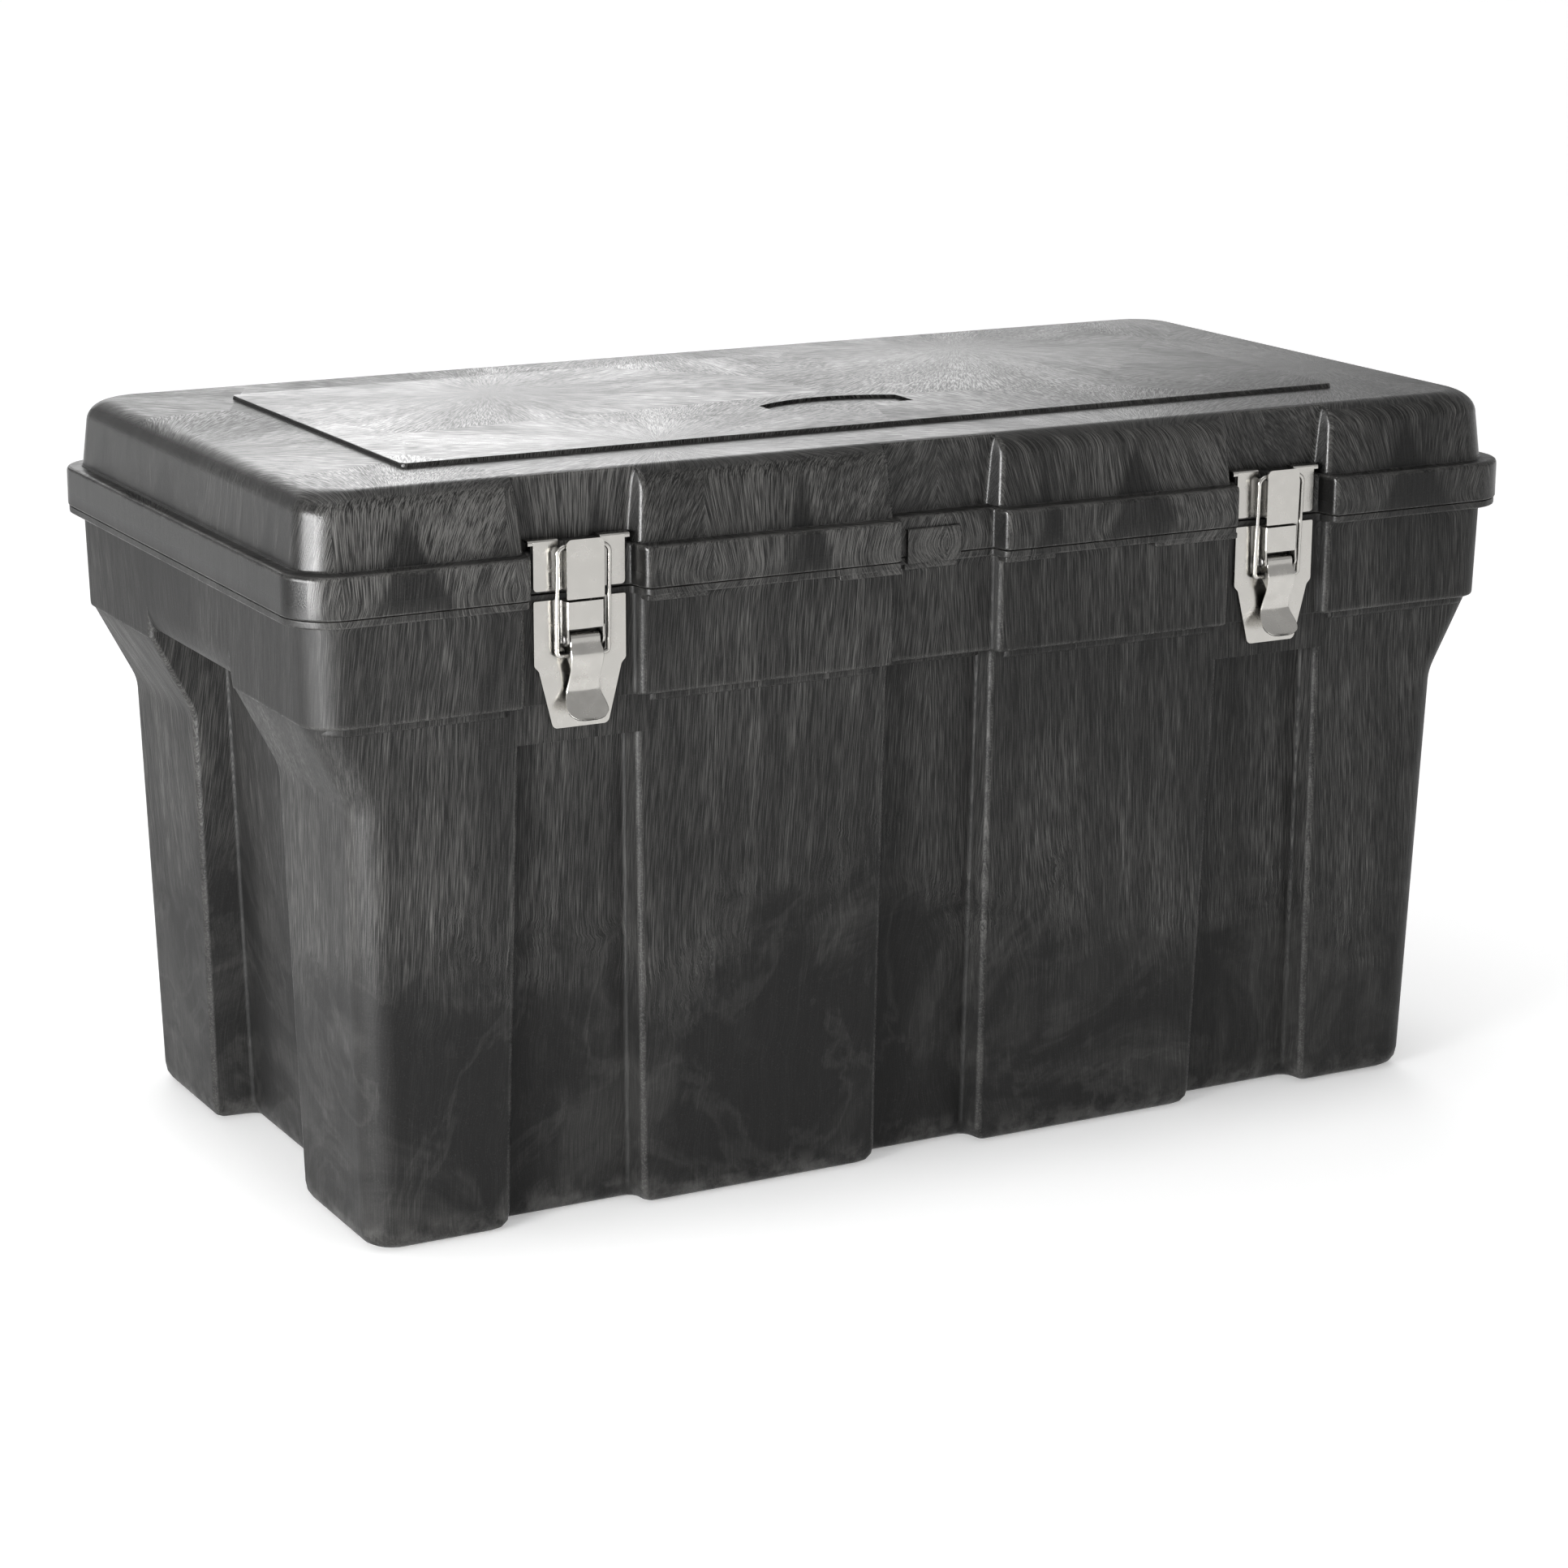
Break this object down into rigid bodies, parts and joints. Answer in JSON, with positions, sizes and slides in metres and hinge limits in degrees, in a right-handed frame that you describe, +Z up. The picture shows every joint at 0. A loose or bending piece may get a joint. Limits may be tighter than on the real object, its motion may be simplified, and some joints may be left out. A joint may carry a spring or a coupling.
{
  "type": "footlocker",
  "caption": "Moulded plastic footlocker with a hinged ribbed lid, draw latches with wire bails and grip pockets under a shoulder at each end.",
  "frame": {"origin": "middle of the underside of the base, on the surface it stands on", "axes": "+X along the length, -Y towards the latches, +Z up"},
  "size_m": [0.79, 0.4063, 0.4325],
  "materials": {
    "charcoal_plastic": "structural-foam polyolefin, dark charcoal, satin with fine flow streaks",
    "nickel_steel": "bright nickel-plated sheet steel and wire",
    "rivet_steel": "plain zinc-plated steel rivets and rods"
  },
  "bodies": {
    "body": {"body_shell": "charcoal_plastic", "hinge_pin_left": "rivet_steel", "hinge_pin_right": "rivet_steel", "latch_base_left": "nickel_steel", "lever_pin_left": "rivet_steel", "base_rivet_left_upper": "rivet_steel", "base_rivet_left_lower": "rivet_steel", "latch_base_right": "nickel_steel", "lever_pin_right": "rivet_steel", "base_rivet_right_upper": "rivet_steel", "base_rivet_right_lower": "rivet_steel"},
    "lid": {"lid_shell": "charcoal_plastic", "strike_plate_left": "nickel_steel", "strike_rivet_left_outer": "rivet_steel", "strike_rivet_left_inner": "rivet_steel", "strike_plate_right": "nickel_steel", "strike_rivet_right_outer": "rivet_steel", "strike_rivet_right_inner": "rivet_steel"},
    "lever_left": {"lever_left": "nickel_steel"},
    "bail_left": {"bail_left": "nickel_steel"},
    "lever_right": {"lever_right": "nickel_steel"},
    "bail_right": {"bail_right": "nickel_steel"}
  },
  "joints": [
    {"name": "lid_hinge", "type": "hinge", "parent": "body", "child": "lid", "pos_m": [0, 0.2005, 0.36535], "axis": [-1, 0, 0], "range_deg": [0, 105]},
    {"name": "lever_left_turn", "type": "hinge", "parent": "body", "child": "lever_left", "pos_m": [-0.228, -0.189, 0.3405], "axis": [-1, 0, 0], "range_deg": [0, 95]},
    {"name": "bail_left_swing", "type": "hinge", "parent": "lever_left", "child": "bail_left", "pos_m": [-0.228, -0.1881, 0.3313], "axis": [1, 0, 0], "range_deg": [0, 81]},
    {"name": "lever_right_turn", "type": "hinge", "parent": "body", "child": "lever_right", "pos_m": [0.228, -0.189, 0.3405], "axis": [-1, 0, 0], "range_deg": [0, 95]},
    {"name": "bail_right_swing", "type": "hinge", "parent": "lever_right", "child": "bail_right", "pos_m": [0.228, -0.1881, 0.3313], "axis": [1, 0, 0], "range_deg": [0, 81]}
  ],
  "couplings": [
    {"joint": "bail_left_swing", "follows": "lever_left_turn", "ratio": 0.85},
    {"joint": "bail_right_swing", "follows": "lever_right_turn", "ratio": 0.85}
  ]
}
